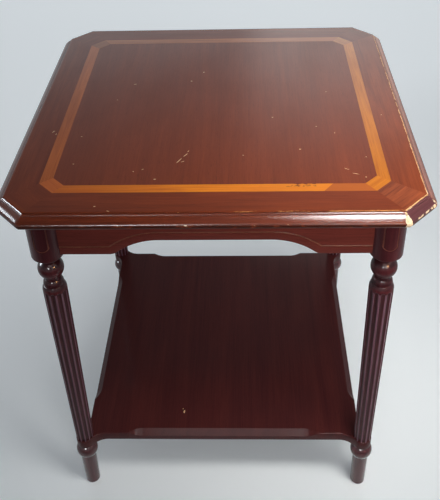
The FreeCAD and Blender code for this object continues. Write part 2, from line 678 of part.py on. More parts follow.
dowel_sets = []
for side, angle in SIDE_TURNS.items():
    dowels = []
    for end, start in (("right", f"{APRON_END} - {DOWEL_IN_APRON}"),
                       ("left", f"-{APRON_END} - sizes.dowel_in_leg")):
        for number, height in enumerate(DOWEL_HEIGHTS):
            dowel = rod(f"dowel_{side}_{end}_{number}", "sizes.dowel_radius", "sizes.dowel_length")
            dowel.Placement = Placement(Vector(0, 0, 0), Rotation(Vector(0, 1, 0), 90))
            dowel.setExpression("Placement.Base.x", start)
            dowel.setExpression("Placement.Base.y", f"-{LEG_AXIS}")
            dowel.setExpression("Placement.Base.z", height)
            dowels.append(dowel)
    dowel_set = group(f"apron_dowels_{side}", dowels)
    dowel_set.Placement = turned(angle)
    dowel_sets.append(dowel_set)
keep(group("apron_dowels", dowel_sets), "apron_dowels")

STUD_LENGTH = "sizes.stud_in_foot + sizes.shelf_thickness + sizes.stud_in_leg"
studs = []
for corner in CORNER_TURNS:
    stud = rod(f"stud_{corner}", "sizes.stud_radius", STUD_LENGTH)
    place_at_corner(stud, corner, LEG_AXIS)
    stud.setExpression("Placement.Base.z", f"{SHELF_BOTTOM} - sizes.stud_in_foot")
    studs.append(stud)
keep(group("leg_studs", studs), "leg_studs")

# Corner blocks: glued inside the apron frame, each with one countersunk screw up into the top.
BLOCK_BOTTOM = f"({UNDERSIDE} - sizes.block_height)"


def draw_screw(sketch, gap, top):
    """Half a countersunk screw, grown by a gap, with its head flush with the block's lower face."""
    shank = f"(sizes.screw_radius + {gap})"
    head = f"(sizes.screw_head_radius + {gap})"
    draw(sketch, [("0", BLOCK_BOTTOM), (head, BLOCK_BOTTOM), (shank, f"{BLOCK_BOTTOM} + sizes.screw_head_height"),
                  (shank, top), ("0", top)])


screws = []
for corner in CORNER_TURNS:
    label = f"corner_block_{corner}"
    block = new_body(label)
    plan = new_sketch(block, f"{label}_plan", "XY_Plane", BLOCK_BOTTOM)
    seat = "((sizes.block_reach + sizes.block_inset) / 4)"
    near = f"(sizes.block_inset - {seat})"
    far = f"(sizes.block_reach - {seat})"
    draw(plan, [(near, f"-{seat}"), (far, f"-{seat}"), (f"-{seat}", far), (f"-{seat}", near)])
    add_feature(block, "Pad", f"{label}_board", plan, Length="sizes.block_height")
    hole = new_sketch(block, f"{label}_hole", "XZ_Plane")
    draw_screw(hole, "sizes.clearance", UNDERSIDE)
    spin(block, "Groove", f"{label}_screw_hole", hole)
    place_at_corner(block, corner, BLOCK_MIDDLE)
    keep(block, label)
    screw = new_body(f"screw_{corner}")
    outline = new_sketch(screw, f"screw_{corner}_outline", "XZ_Plane")
    draw_screw(outline, "0", f"({UNDERSIDE} + sizes.screw_in_top)")
    spin(screw, "Revolution", f"screw_{corner}_turning", outline)
    place_at_corner(screw, corner, BLOCK_MIDDLE)
    screws.append(screw)
keep(group("top_screws", screws), "top_screws")

# Check every object, then write one file for each sub-part.
document.recompute()
for item in document.Objects:
    if "Invalid" in item.State or "Error" in item.State:
        raise RuntimeError(f"{item.Label} did not build: {item.State}")
os.makedirs("parts", exist_ok=True)
for piece in sub_parts:
    if piece.Shape.isNull() or not piece.Shape.isValid():
        raise RuntimeError(f"{piece.Label} has no valid shape")
    piece.Shape.exportStep(f"parts/{piece.Label}.step")
    print(piece.Label, len(piece.Shape.Solids), round(piece.Shape.Volume, 1))
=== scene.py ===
import math
import bmesh
import bpy
from mathutils import Matrix, Vector, noise


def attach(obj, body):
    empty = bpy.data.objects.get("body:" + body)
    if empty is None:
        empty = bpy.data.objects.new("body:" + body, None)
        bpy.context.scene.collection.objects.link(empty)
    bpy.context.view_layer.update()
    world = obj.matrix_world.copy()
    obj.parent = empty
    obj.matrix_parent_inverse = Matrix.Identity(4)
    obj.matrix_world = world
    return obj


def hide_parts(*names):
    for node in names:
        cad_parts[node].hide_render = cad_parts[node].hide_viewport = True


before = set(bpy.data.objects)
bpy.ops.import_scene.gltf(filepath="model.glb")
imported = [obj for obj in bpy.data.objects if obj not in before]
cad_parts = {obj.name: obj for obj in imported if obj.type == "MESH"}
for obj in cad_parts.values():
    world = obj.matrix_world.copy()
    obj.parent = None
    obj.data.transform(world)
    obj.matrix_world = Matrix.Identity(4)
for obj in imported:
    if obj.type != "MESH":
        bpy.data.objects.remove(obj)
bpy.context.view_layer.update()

# Feet: four turned beech knobs, a ball with a plain spigot below it that stands on the floor.
# Each is turned in one piece, bored for its stud, stained dark red-brown and lacquered to a gloss.
CORNERS = ("front_left", "front_right", "back_right", "back_left")
UPRIGHT = (0, 90, 0)
turned_tones = (0.047, 0.0088, 0.011), (0.1, 0.0195, 0.022)
turned_figure = (0.15, 0.01)
foot_gloss = (0.32, 1.0, 0.12)


def new_finish(name):
    """A new material, with its nodes and its shader."""
    finish = bpy.data.materials.new(name)
    finish.use_nodes = True
    tree = finish.node_tree
    return finish, tree, tree.nodes["Principled BSDF"]


def feed(tree, socket, given):
    """Joins another node to a socket, or sets the socket to a colour or a number."""
    if isinstance(given, bpy.types.NodeSocket):
        tree.links.new(given, socket)
    elif isinstance(given, tuple):
        socket.default_value = (*given, 1.0)
    else:
        socket.default_value = given


def sums(tree, kind, *given):
    """One sum of that kind, over numbers and what other nodes give."""
    node = tree.nodes.new("ShaderNodeMath")
    node.operation = kind
    for socket, value in zip(node.inputs, given):
        feed(tree, socket, value)
    return node.outputs["Value"]


def between(tree, given, low, high, at_low, at_high):
    """A share that goes from at_low to at_high while the value given goes from low to high."""
    node = tree.nodes.new("ShaderNodeMapRange")
    tree.links.new(given, node.inputs["Value"])
    for label, number in (("From Min", low), ("From Max", high), ("To Min", at_low), ("To Max", at_high)):
        node.inputs[label].default_value = number
    return node.outputs["Result"]


def blend_of(tree, share, first, second):
    """The first colour, with that share of the second over it."""
    node = tree.nodes.new("ShaderNodeMix")
    node.data_type = "RGBA"
    for socket, given in ((node.inputs["Factor"], share), (node.inputs[6], first), (node.inputs[7], second)):
        feed(tree, socket, given)
    return node.outputs[2]


def streaks(tree, size, detail, rough, wander=0.0, turn=(0, 0, 0), start=(0.0, 0.0, 0.0)):
    """Noise drawn out to a size in metres along X, Y and Z, begun at start and turned in degrees."""
    place = tree.nodes.new("ShaderNodeTexCoord")
    lay = tree.nodes.new("ShaderNodeMapping")
    lay.vector_type = "TEXTURE"
    lay.inputs["Location"].default_value = start
    lay.inputs["Rotation"].default_value = [math.radians(angle) for angle in turn]
    lay.inputs["Scale"].default_value = size
    tree.links.new(place.outputs["Object"], lay.inputs["Vector"])
    grain = tree.nodes.new("ShaderNodeTexNoise")
    for label, number in (("Scale", 1.0), ("Detail", detail), ("Roughness", rough), ("Distortion", wander)):
        grain.inputs[label].default_value = number
    tree.links.new(lay.outputs["Vector"], grain.inputs["Vector"])
    return grain.outputs["Fac"]


def relief_of(tree, height, strength, deep):
    """The surface raised by a height, over a depth in metres."""
    node = tree.nodes.new("ShaderNodeBump")
    node.inputs["Strength"].default_value = strength
    node.inputs["Distance"].default_value = deep
    tree.links.new(height, node.inputs["Height"])
    return node.outputs["Normal"]


def stained_wood(name, turn, tones, gloss, seed, figure=(0.2, 0.014), pores=0.5, worn=None, peel=0.3):
    """Wood whose grain lies along X turned by turn, from a deep to a bright tone. Gloss is how rough the wood
    is, how much lacquer lies on it and how rough that is. Figure is the length and width of its ribbons.
    Where the mesh's mark is above nought, the lacquer is worn to the two tones given as worn, which on the
    aprons' cut line is also a painted highlight. Where the mark is below nought the wood darkens towards a
    dusk tone: painted shade under the mouldings' noses, and a dark line at their step. The lacquer's own
    surface is dimpled by peel."""
    deep, bright = tones
    rough, coat, coat_rough = gloss
    dusk = tuple(channel * 0.45 for channel in deep)
    fine_relief = 0.0001
    start = (seed * 0.37, seed * 0.11, seed * 0.23)
    finish, tree, shader = new_finish(name)

    def grain(length, width, detail, wander):
        return streaks(tree, (length, width, width), detail, 0.6, wander, turn, start)

    ribbon = grain(*figure, 3.0, 0.8)
    fibre = grain(0.05, 0.0012, 5.0, 0.2)
    pore = grain(0.009, 0.0006, 2.0, 0.0)
    cloud = grain(0.11, 0.07, 2.0, 0.4)
    tone = sums(tree, "ADD", sums(tree, "MULTIPLY", ribbon, 0.5), sums(tree, "MULTIPLY", fibre, 0.5))
    colour = blend_of(tree, between(tree, tone, 0.32, 0.68, 0.0, 1.0), deep, bright)
    colour = blend_of(tree, between(tree, cloud, 0.45, 0.8, 0.0, 0.4), colour, deep)
    colour = blend_of(tree, between(tree, pore, 0.6, 0.72, 0.0, pores), colour, dusk)
    dull = sums(tree, "ADD", cloud, sums(tree, "MULTIPLY", pore, 0.4))
    roughness = between(tree, dull, 0.45, 0.95, rough * 0.85, rough * 1.25)
    if worn:
        mark = tree.nodes.new("ShaderNodeAttribute")
        mark.attribute_name = "wear_and_painted_light"
        wear_and_painted_light = mark.outputs["Fac"]
        patch = between(tree, grain(0.006, 0.002, 4.0, 0.3), 0.3, 0.7, -0.35, 0.35)
        share = between(tree, sums(tree, "ADD", wear_and_painted_light, patch), 0.4, 0.6, 0.0, 1.0)
        bare_wood = blend_of(tree, between(tree, fibre, 0.35, 0.65, 0.0, 1.0), *worn)
        # Below nought the mark darkens the wood: painted shade under the mouldings' noses, and a dark line at
        # their step.
        colour = blend_of(tree, between(tree, wear_and_painted_light, -1.0, 0.0, 0.9, 0.0), colour, dusk)
        colour = blend_of(tree, share, colour, bare_wood)
        roughness = sums(tree, "ADD", roughness, sums(tree, "MULTIPLY", share, 0.35))
    grain_height = sums(tree, "SUBTRACT", fibre, between(tree, pore, 0.58, 0.75, 0.0, 0.8))
    surface = {
        "Base Color": colour, "Roughness": roughness, "Specular IOR Level": 0.05, "Coat Weight": coat,
        "Coat Roughness": coat_rough, "Normal": relief_of(tree, grain_height, 0.25, fine_relief),
    }
    if coat:
        dimples = grain(0.0013, 0.0013, 1.0, 0.0)
        surface["Coat Normal"] = relief_of(tree, dimples, 1.0, peel * fine_relief)
    for label, given in surface.items():
        feed(tree, shader.inputs[label], given)
    return finish


def dress(node, finish):
    """Puts one finish on a CAD node."""
    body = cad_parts[node].data
    body.materials.clear()
    body.materials.append(finish)


foot_finish = stained_wood("foot_finish", UPRIGHT, turned_tones, foot_gloss, seed=1.0,
                           figure=turned_figure, pores=0.4)
for corner in CORNERS:
    dress("foot_" + corner, foot_finish)


# Leg studs: four plain dowel screws of drawn steel on the leg axes, hidden in the wood.
# Each joins a foot, the shelf's lobe and a leg in one line.
def drawn_steel(name, tone, rough):
    """Drawn steel with faint lengthwise draw lines and dull patches."""
    finish, tree, shader = new_finish(name)
    line = streaks(tree, (0.0006, 0.0006, 0.02), 4.0, 0.5)
    dull = tuple(channel * 0.6 for channel in tone)
    surface = {
        "Metallic": 1.0,
        "Base Color": blend_of(tree, between(tree, line, 0.3, 0.7, 0.0, 1.0), dull, tone),
        "Roughness": between(tree, line, 0.0, 1.0, rough * 0.7, rough * 1.4),
        "Normal": relief_of(tree, line, 0.2, 0.00005),
    }
    for label, given in surface.items():
        feed(tree, shader.inputs[label], given)
    return finish


stud_steel = drawn_steel("stud_steel", (0.45, 0.44, 0.42), 0.35)
dress("leg_studs", stud_steel)

# Shelf: one flat board, grain front to back, with a round lobe under each leg and a stopped chamfer on each
# edge. It is gripped between the legs and the feet, and its edges are eased by sanding.
# It is stained like the legs and has less lacquer.
mm = 0.001
LEG_AXIS = 190.5
FACINGS = {"front": -90, "right": 0, "back": 90, "left": 180}
FRONT_TO_BACK = (0, 0, 90)
shelf_edge, shelf_low, shelf_high, shelf_ease = 187.0, 82.5, 97.0, 1.2
lobe, hollow = 12.0, 26.0
bend_steps, edge_steps = 15, 120
chamfer_wide, chamfer_deep, chamfer_full, chamfer_run = 8.0, 6.5, 111.0, 20.0
under_inset, upper_inset = 4.0, 2.5
shelf_tones = (0.045, 0.0098, 0.0105), (0.082, 0.0175, 0.0155)


def skin(name, rings, wear_and_painted_light=None, edge=38):
    """A closed surface through loops of points in mm, each with the same count, capped at both ends.
    The given marks hold wear and painted light for each point, and corners sharper than edge, in degrees,
    stay crisp."""
    count = len(rings[0])
    last = (len(rings) - 1) * count
    points = [[coordinate * mm for coordinate in point] for ring in rings for point in ring]
    faces = [tuple(range(count)), tuple(range(last, last + count))]
    for start in range(0, last, count):
        for i in range(count):
            j = (i + 1) % count
            faces.append((start + i, start + j, start + count + j, start + count + i))
    mesh = bpy.data.meshes.new(name)
    mesh.from_pydata(points, [], faces)
    if wear_and_painted_light:
        mark = mesh.attributes.new("wear_and_painted_light", "FLOAT", "POINT")
        mark.data.foreach_set("value", [share for ring in wear_and_painted_light for share in ring])
    shape = bmesh.new()
    shape.from_mesh(mesh)
    bmesh.ops.recalc_face_normals(shape, faces=shape.faces)
    shape.to_mesh(mesh)
    shape.free()
    mesh.shade_smooth()
    mesh.set_sharp_from_angle(angle=math.radians(edge))
    piece = bpy.data.objects.new(name, mesh)
    bpy.context.scene.collection.objects.link(piece)
    return piece


def on_edge(facing, out, along, height):
    """A point out from the table's middle and along an edge that faces that way, counted anticlockwise."""
    turn = math.radians(facing)
    x = out * math.cos(turn) - along * math.sin(turn)
    y = out * math.sin(turn) + along * math.cos(turn)
    return (x, y, height)


def chamfer_share(along):
    """How much of the full chamfer is cut at a place along an edge: it bows out to a point at each end."""
    depth = chamfer_wide * chamfer_deep / math.hypot(chamfer_wide, chamfer_deep)
    bow = (chamfer_run ** 2 + depth ** 2) / (2 * depth)
    past = abs(along) - chamfer_full
    if past <= 0:
        return 1.0
    if past >= chamfer_run:
        return 0.0
    return 1 - (bow - math.sqrt(bow ** 2 - past ** 2)) / depth


def shelf_side():
    """One side of the shelf's plan, from the middle of a lobe to the middle of the next.
    Each point has its place out and along, the way it faces and its share of the chamfer."""
    rise = shelf_edge + hollow - LEG_AXIS
    run = math.sqrt((lobe + hollow) ** 2 - rise ** 2)
    meet = math.atan2(run, rise)
    first = []
    for i in range(bend_steps + 1):
        angle = -math.pi / 4 + (meet + math.pi / 4) * i / bend_steps
        first.append((LEG_AXIS + lobe * math.cos(angle), lobe * math.sin(angle) - LEG_AXIS, angle))
    for i in range(1, bend_steps):
        angle = meet * (1 - i / bend_steps)
        out = shelf_edge + hollow - hollow * math.cos(angle)
        first.append((out, run - LEG_AXIS - hollow * math.sin(angle), angle))
    straight = LEG_AXIS - run
    edge = [straight * i / edge_steps for i in range(-edge_steps, edge_steps + 1)]
    line = [(out, along, angle, 0.0) for out, along, angle in first]
    line += [(shelf_edge, along, 0.0, chamfer_share(along)) for along in edge]
    line += [(out, -along, -angle, 0.0) for out, along, angle in reversed(first[1:])]
    return line


def shelf_ring(inset, height):
    """A loop round the shelf, set in and at a height that are given for each share of chamfer."""
    ring = []
    for facing in FACINGS.values():
        for out, along, angle, share in shelf_side():
            back = inset(share)
            out -= back * math.cos(angle)
            along -= back * math.sin(angle)
            ring.append(on_edge(facing, out, along, height(share)))
    return ring


def eased(angle):
    """How far in and how far off the face a sanded edge lies, at an angle round its quarter turn."""
    turn = math.radians(angle)
    return shelf_ease * (1 - math.cos(turn)), shelf_ease * (1 - math.sin(turn))


rings = [shelf_ring(lambda share: under_inset, lambda share: shelf_low)]
for angle in (90, 60, 30, 0):
    back, up = eased(angle)
    rings.append(shelf_ring(lambda share: back, lambda share: shelf_low + up))
for angle in (0, 30, 60, 90):
    back, down = eased(angle)
    part = angle / 90
    rings.append(shelf_ring(lambda share: max(back, chamfer_wide * share * part),
                            lambda share: shelf_high - max(down, chamfer_deep * share * (1 - part))))
rings.append(shelf_ring(lambda share: max(shelf_ease, chamfer_wide * share) + upper_inset,
                        lambda share: shelf_high))
shelf_finish = stained_wood("shelf_finish", FRONT_TO_BACK, shelf_tones, gloss=(0.36, 0.2, 0.11), seed=2.0,
                            figure=(0.5, 0.02))
shelf = skin("shelf", rings, edge=32)
shelf.data.materials.append(shelf_finish)
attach(shelf, "root")
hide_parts("shelf_board")

# Shelf flecks: two spots by the shelf's front edge where the stain has flaked off to pale bare wood.
# Each is a ragged sliver let into the board, a hair proud of its face.
SHELF_FLECKS = ((-55.5, -152.0, 5.0, 2.2, 80), (-57.5, -147.0, 1.6, 1.2, 0))
sliver_points, sliver_ragged, sliver_sunk, sliver_proud = 9, 0.45, 0.3, 0.03
nick_tones = (0.62, 0.34, 0.14), (0.92, 0.7, 0.42)


def slivers(name, table, face, wood):
    """Ragged slivers let into a face at that height: place, length, width and angle, in mm and degrees."""
    shape = bmesh.new()
    for number, (x, y, length, width, lean) in enumerate(table):
        turn = math.radians(lean)
        loops = []
        for height in (face - sliver_sunk, face + sliver_proud):
            loop = []
            for i in range(sliver_points):
                angle = 2 * math.pi * i / sliver_points
                spot = Vector((number * 3.7, math.cos(angle) * 1.3, math.sin(angle) * 1.3))
                ragged = 1 + sliver_ragged * noise.noise(spot)
                u = length / 2 * math.cos(angle) * ragged
                v = width / 2 * math.sin(angle) * ragged
                across = x + u * math.cos(turn) - v * math.sin(turn)
                along = y + u * math.sin(turn) + v * math.cos(turn)
                loop.append(shape.verts.new((across * mm, along * mm, height * mm)))
            loops.append(loop)
        low, high = loops
        shape.faces.new(list(reversed(low)))
        shape.faces.new(high)
        for i in range(sliver_points):
            j = (i + 1) % sliver_points
            shape.faces.new((low[i], low[j], high[j], high[i]))
    mesh = bpy.data.meshes.new(name)
    shape.to_mesh(mesh)
    shape.free()
    mesh.materials.append(wood)
    piece = bpy.data.objects.new(name, mesh)
    bpy.context.scene.collection.objects.link(piece)
    return piece


nick_wood = stained_wood("nick_wood", FRONT_TO_BACK, nick_tones, gloss=(0.6, 0.0, 0.3), seed=41.0,
                         figure=(0.004, 0.001), pores=0.2)
shelf_flecks = slivers("shelf_flecks", SHELF_FLECKS, shelf_high, nick_wood)
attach(shelf_flecks, "root")

# Legs: four turned beech legs, a plain head for the aprons, a ball and collar, and a tapered shaft with
# twelve flutes. They are stained like the feet and darker down in the flutes, and the flutes' edges are
# paler, partly rubbed wood and partly a painted blue-grey sheen. A line cut like a letter U on the two outer
# faces of the head shows paler, brightest round its bottom, which is a painted highlight.
leg_gloss = (0.32, 0.35, 0.1)
cut_floor, cut_lip, head_low = 18.4, 18.8, 431.5
bowl_low, bowl_high, cut_side_share = 447.0, 460.0, 0.4
shaft_low, shaft_high, shaft_end = 97.0, 375.4, 374.0
ridge_low, ridge_high = 11.5, 14.4
flute_dark_from, flute_dark_full, flute_dark_share = 0.2, 1.2, 0.5
rubbed_sheen_deep, rubbed_sheen_share = 0.28, 0.85
cut_tone, flute_tone, rubbed_sheen_tone = (0.25, 0.085, 0.055), (0.016, 0.004, 0.0055), (0.18, 0.088, 0.115)


def place_on(tree):
    """The place on the table, as its X, Y and Z in metres."""
    place = tree.nodes.new("ShaderNodeTexCoord")
    parts = tree.nodes.new("ShaderNodeSeparateXYZ")
    tree.links.new(place.outputs["Object"], parts.inputs["Vector"])
    return parts.outputs


def reach_of(tree, across, along):
    """How far off a place is that lies so far across and so far along."""
    line = tree.nodes.new("ShaderNodeCombineXYZ")
    tree.links.new(across, line.inputs["X"])
    tree.links.new(along, line.inputs["Y"])
    node = tree.nodes.new("ShaderNodeVectorMath")
    node.operation = "LENGTH"
    tree.links.new(line.outputs["Vector"], node.inputs[0])
    return node.outputs["Value"]


leg_finish = stained_wood("leg_finish", UPRIGHT, turned_tones, leg_gloss, seed=1.5,
                          figure=turned_figure, pores=0.4)
tree = leg_finish.node_tree
paint = tree.nodes["Principled BSDF"].inputs["Base Color"]
colour = paint.links[0].from_socket
spot = place_on(tree)
from_axis = [sums(tree, "SUBTRACT", sums(tree, "ABSOLUTE", spot[way]), LEG_AXIS * mm) for way in ("X", "Y")]
radius = reach_of(tree, *from_axis)
# The U cut is paler, and brightest round its bowl; that extra brightness is a painted highlight.
in_cut = between(tree, radius, cut_floor * mm, cut_lip * mm, 1.0, 0.0)
in_cut = sums(tree, "MULTIPLY", in_cut, sums(tree, "GREATER_THAN", spot["Z"], head_low * mm))
bowl_highlight = between(tree, spot["Z"], bowl_low * mm, bowl_high * mm, 1.0, cut_side_share)
colour = blend_of(tree, sums(tree, "MULTIPLY", in_cut, bowl_highlight), colour, cut_tone)
# The flutes are darker down their hollows, and their edges paler: partly rubbed wood, partly a painted
# blue-grey sheen.
ridge = between(tree, spot["Z"], shaft_low * mm, shaft_high * mm, ridge_low * mm, ridge_high * mm)
below_ridge = sums(tree, "SUBTRACT", ridge, radius)
in_flute = between(tree, below_ridge, flute_dark_from * mm, flute_dark_full * mm, 0.0, flute_dark_share)
colour = blend_of(tree, in_flute, colour, flute_tone)
on_ridge = between(tree, below_ridge, 0.0, rubbed_sheen_deep * mm, rubbed_sheen_share, 0.0)
on_ridge = sums(tree, "MULTIPLY", on_ridge, sums(tree, "LESS_THAN", spot["Z"], shaft_end * mm))
tree.links.new(blend_of(tree, on_ridge, colour, rubbed_sheen_tone), paint)
for corner in CORNERS:
    dress("leg_" + corner, leg_finish)

# Aprons: four boards with a shallow arch below and a line cut along it, grain along their length.
# They are stained red-brown, and the cut line shows paler wood on its lower wall and bottom, partly bare wood
# and partly a painted highlight where that wall faces the light. Their ends sit in flats cut on the leg
# heads.
apron_face, apron_back, apron_low, apron_high = 199.5, 181.5, 433.0, 497.0
arch_flat, arch_end, arch_rise, arch_foot = 62.0, 118.5, 20.0, 13.5
arch_bow = ((arch_end - arch_flat) ** 2 + arch_rise ** 2) / (2 * arch_rise) - arch_foot
apron_tones = (0.107, 0.02, 0.0155), (0.2, 0.0395, 0.0272)
apron_line_tones = (0.15, 0.048, 0.026), (0.22, 0.075, 0.04)
# The arrises below, as steps in from the face and up from the edge.
BACK_ARRIS = ((0.0, 1.2), (0.35, 0.35), (1.2, 0.0))
FACE_ARRIS = ((1.2, 0.0), (0.6, 0.16), (0.16, 0.6), (0.0, 1.2))
# The cut line, as shares of its depth and of its half width, and how pale it is there: bare wood, and on the
# lower wall a painted highlight too.
line_up, line_half, line_deep, line_margin = 11.3, 1.0, 1.0, 1.0
CUT_LINE = ((0.0, -1.0, 0.3), (0.75, -0.5, 1.0), (1.0, 0.0, 0.6), (0.75, 0.5, 0.0), (0.0, 1.0, 0.0))
# Where half an apron is drawn: start, step and count, closest where the arch turns into its foot.
APRON_STEPS = ((0.0, 6.2, 10), (62.0, 1.5, 32), (110.0, 0.4, 23), (119.2, 5.73, 11))


def arch_height(along, up):
    """The arch's lower edge, or a line that follows it a distance up."""
    place = abs(along)
    turn_over = arch_end - (arch_end - arch_flat) * (arch_foot - up) / (arch_foot + arch_bow)
    if place <= arch_flat:
        return apron_low + arch_rise + up
    if place <= turn_over:
        bow = arch_bow + up
        return apron_low + arch_rise - arch_bow + math.sqrt(bow ** 2 - (place - arch_flat) ** 2)
    if place < arch_end:
        bow = arch_foot - up
        return apron_low + arch_foot - math.sqrt(max(0.0, bow ** 2 - (place - arch_end) ** 2))
    return apron_low + up


def apron_section(along):
    """The apron's outline across its length, from the back's top edge round: out, height, how bare."""
    nearby = 0.2
    low = arch_height(along, 0.0)
    line = arch_height(along, line_up)
    lean = (arch_height(along + nearby, line_up) - arch_height(along - nearby, line_up)) / (2 * nearby)
    wide = line_half * min(2.5, math.hypot(1, lean))
    section = [(apron_back, apron_high, 0.0)]
    section += [(apron_back + step, low + up, 0.0) for step, up in BACK_ARRIS]
    section += [(apron_face - step, low + up, 0.0) for step, up in FACE_ARRIS]
    section.append((apron_face, line - wide - line_margin, 0.0))
    section += [(apron_face - line_deep * deep, line + wide * up, mark) for deep, up, mark in CUT_LINE]
    return section + [(apron_face, line + wide + line_margin, 0.0), (apron_face, apron_high, 0.0)]


half_places = [start + step * i for start, step, count in APRON_STEPS for i in range(count)]
places = [-place for place in reversed(half_places[1:])] + half_places
for number, (side, facing) in enumerate(FACINGS.items()):
    rings, wear_and_painted_light = [], []
    for along in places:
        section = apron_section(along)
        rings.append([on_edge(facing, out, along, height) for out, height, mark in section])
        wear_and_painted_light.append([mark for out, height, mark in section])
    apron_finish = stained_wood("apron_finish_" + side, (0, 0, facing + 90), apron_tones,
                                gloss=(0.34, 0.2, 0.12), seed=3.0 + number, figure=(0.3, 0.012),
                                worn=apron_line_tones)
    apron = skin("arched_apron_" + side, rings, wear_and_painted_light=wear_and_painted_light, edge=32)
    apron.data.materials.append(apron_finish)
    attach(apron, "root")
    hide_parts("apron_" + side)

# Apron dowels: sixteen plain beech pins, two in each end of each apron.
# They are glued into the leg heads, hidden in the joints and left bare.
SIDE_TO_SIDE = (0, 0, 0)
dowel_tones = (0.42, 0.26, 0.13), (0.62, 0.43, 0.25)
dowel_wood = stained_wood("dowel_wood", SIDE_TO_SIDE, dowel_tones, gloss=(0.6, 0.0, 0.3), seed=8.0,
                          pores=0.2)
dress("apron_dowels", dowel_wood)

# Corner blocks: four plain softwood blocks, glued into the corners behind the aprons to hold them square.
# They are sawn, drilled for the top's screws and left bare.
block_tones = (0.36, 0.22, 0.11), (0.6, 0.42, 0.24)
block_wood = stained_wood("block_wood", SIDE_TO_SIDE, block_tones, gloss=(0.65, 0.0, 0.3), seed=9.0,
                          figure=(0.3, 0.006), pores=0.15)
for corner in CORNERS:
    dress("corner_block_" + corner, block_wood)

# Top screws: four steel wood screws that hold the top down on the frame.
# Each goes up through a corner block into the core.
screw_steel = drawn_steel("screw_steel", (0.5, 0.47, 0.4), 0.3)
dress("top_screws", screw_steel)

# Top core and backing: a plain board with a thin backing veneer glued to its underside.
# The backing is stained but not polished, and the core shows nowhere.
core_tones = (0.34, 0.22, 0.12), (0.5, 0.35, 0.2)
backing_tones = (0.06, 0.016, 0.01), (0.12, 0.034, 0.02)
core_wood = stained_wood("core_wood", SIDE_TO_SIDE, core_tones, gloss=(0.7, 0.0, 0.3), seed=10.0, pores=0.2)
dress("top_core", core_wood)
backing_finish = stained_wood("backing_finish", FRONT_TO_BACK, backing_tones, gloss=(0.55, 0.0, 0.3),
                              seed=11.0)
dress("top_backing_veneer", backing_finish)

# Edge mouldings: solid lippings tongued to the core and mitred at the eight corners of the top.
# Each has a step below the top's face, a sloping facet and a round nose, polished brighter than the face.
# The right front corner is chipped, and its moulding is painted darker and purple-grey, a painted shade and
# sheen.
# The step is rubbed to bare wood along the right.
step_line, cut_corner, moulding_low, moulding_high = 225.0, 27.4, 497.0, 512.0
mitre = math.tan(math.radians(22.5))
moulding_tones = (0.1, 0.0165, 0.006), (0.185, 0.033, 0.0105)
# Painted shade and sheen: the right front corner's moulding is darker and purple-grey.
shade_and_sheen_tones = (0.082, 0.026, 0.029), (0.145, 0.05, 0.053)
chipped_tones = (0.72, 0.5, 0.28), (0.86, 0.7, 0.48)
RUBBED_EDGES = ("right", "front_right")
# The nose and the facet's crown, then the small bead and the step, out from the step line and up.
tongue_in, under_flat = 4.0, 3.5
nose, nose_middle, nose_turn, nose_steps = 4.7, 6.3, 148, 16
facet_high, facet_crown, crown_out, crown_up = 511.2, 1.8, 0.53, 0.85
FACET_SHARES = (0.1, 0.24, 0.36, 0.41, 0.46, 0.51, 0.6, 0.7)
BEAD = (
    (2.3, 509.68), (2.25, 510.05), (2.2, 510.3), (1.95, 510.72),
    (1.5, 511.08), (1.0, 511.4), (0.5, 511.65), (0.0, 511.8),
)
# The broken corner's reach at the step and its growth to the nose, and the chips' places and sizes.
BROKEN_ENDS = {"front": (1.2, 3.6), "front_right": (0.7, 1.7)}
NOSE_CHIPS = ((-8.5, 2.0), (-3.0, 1.6), (2.5, 1.8), (7.0, 1.4), (12.5, 1.5), (18.5, 2.4))
broken_from, broken_deep = 0.6, 1.5
chip_from, chip_height, chip_deep, chip_ragged = 8.0, 503.3, 0.5, 0.6
# The corners' rounding by use, the dents along the front's facet, and the chipped corner's rubbed far end.
handled_from, handled_run, handled_deep = 3.0, 5.0, 0.12
dent_near, dent_far, dent_low, dent_deep = 4.6, 5.3, 506.0, 0.12
rubbed_end, rubbed_end_from = 2.2, 5.0
# The rubbed step, a dark line in its corner, the painted shade under the nose, and the rubbed nose.
step_wide, step_low = 0.7, 511.0
corner_line_wide, corner_line_low, corner_line_high, corner_line_dark = 0.3, 511.5, 512.1, -0.9
shade_out, shade_from, shade_run = 2.0, 505.0, 2.5
nose_rub_out, nose_rub_low, nose_rub_least = 9.5, 499.0, 0.17
EDGES = []
for side, facing in FACINGS.items():
    EDGES.append((side, facing, step_line, step_line - cut_corner))
for number, corner in enumerate(CORNERS):
    out = (2 * step_line - cut_corner) / math.sqrt(2)
    EDGES.append((corner, -135 + 90 * number, out, cut_corner / math.sqrt(2)))

moulding_section = [(-tongue_in, moulding_low), (0.0, moulding_low), (under_flat, moulding_low)]
for i in range(nose_steps + 1):
    angle = math.radians(-90 + i * nose_turn / nose_steps)
    up = moulding_low + nose + nose * math.sin(angle)
    moulding_section.append((nose_middle + nose * math.cos(angle), up))
nose_out, nose_top = moulding_section[-1]
for share in FACET_SHARES:
    crown = facet_crown * share * (1 - share)
    up = nose_top + (facet_high - nose_top) * share + crown_up * crown
    moulding_section.append((nose_out * (1 - share) + crown_out * crown, up))
moulding_section += [*BEAD, (0.0, moulding_high), (-tongue_in, moulding_high)]


def ways_along(half, close):
    """Places from -1 to 1 along an edge, close together in the last few millimetres at each end."""
    end_run, wide = 9, 2.5
    end = [i * close / half for i in range(int(end_run / close) + 1) if i * close < half * 0.45]
    middle = 1 - end[-1]
    count = max(2, int(half * 2 * middle / wide))
    line = [step - 1 for step in end]
    line += [middle * (2 * i / count - 1) for i in range(1, count)]
    return line + [1 - step for step in reversed(end)]


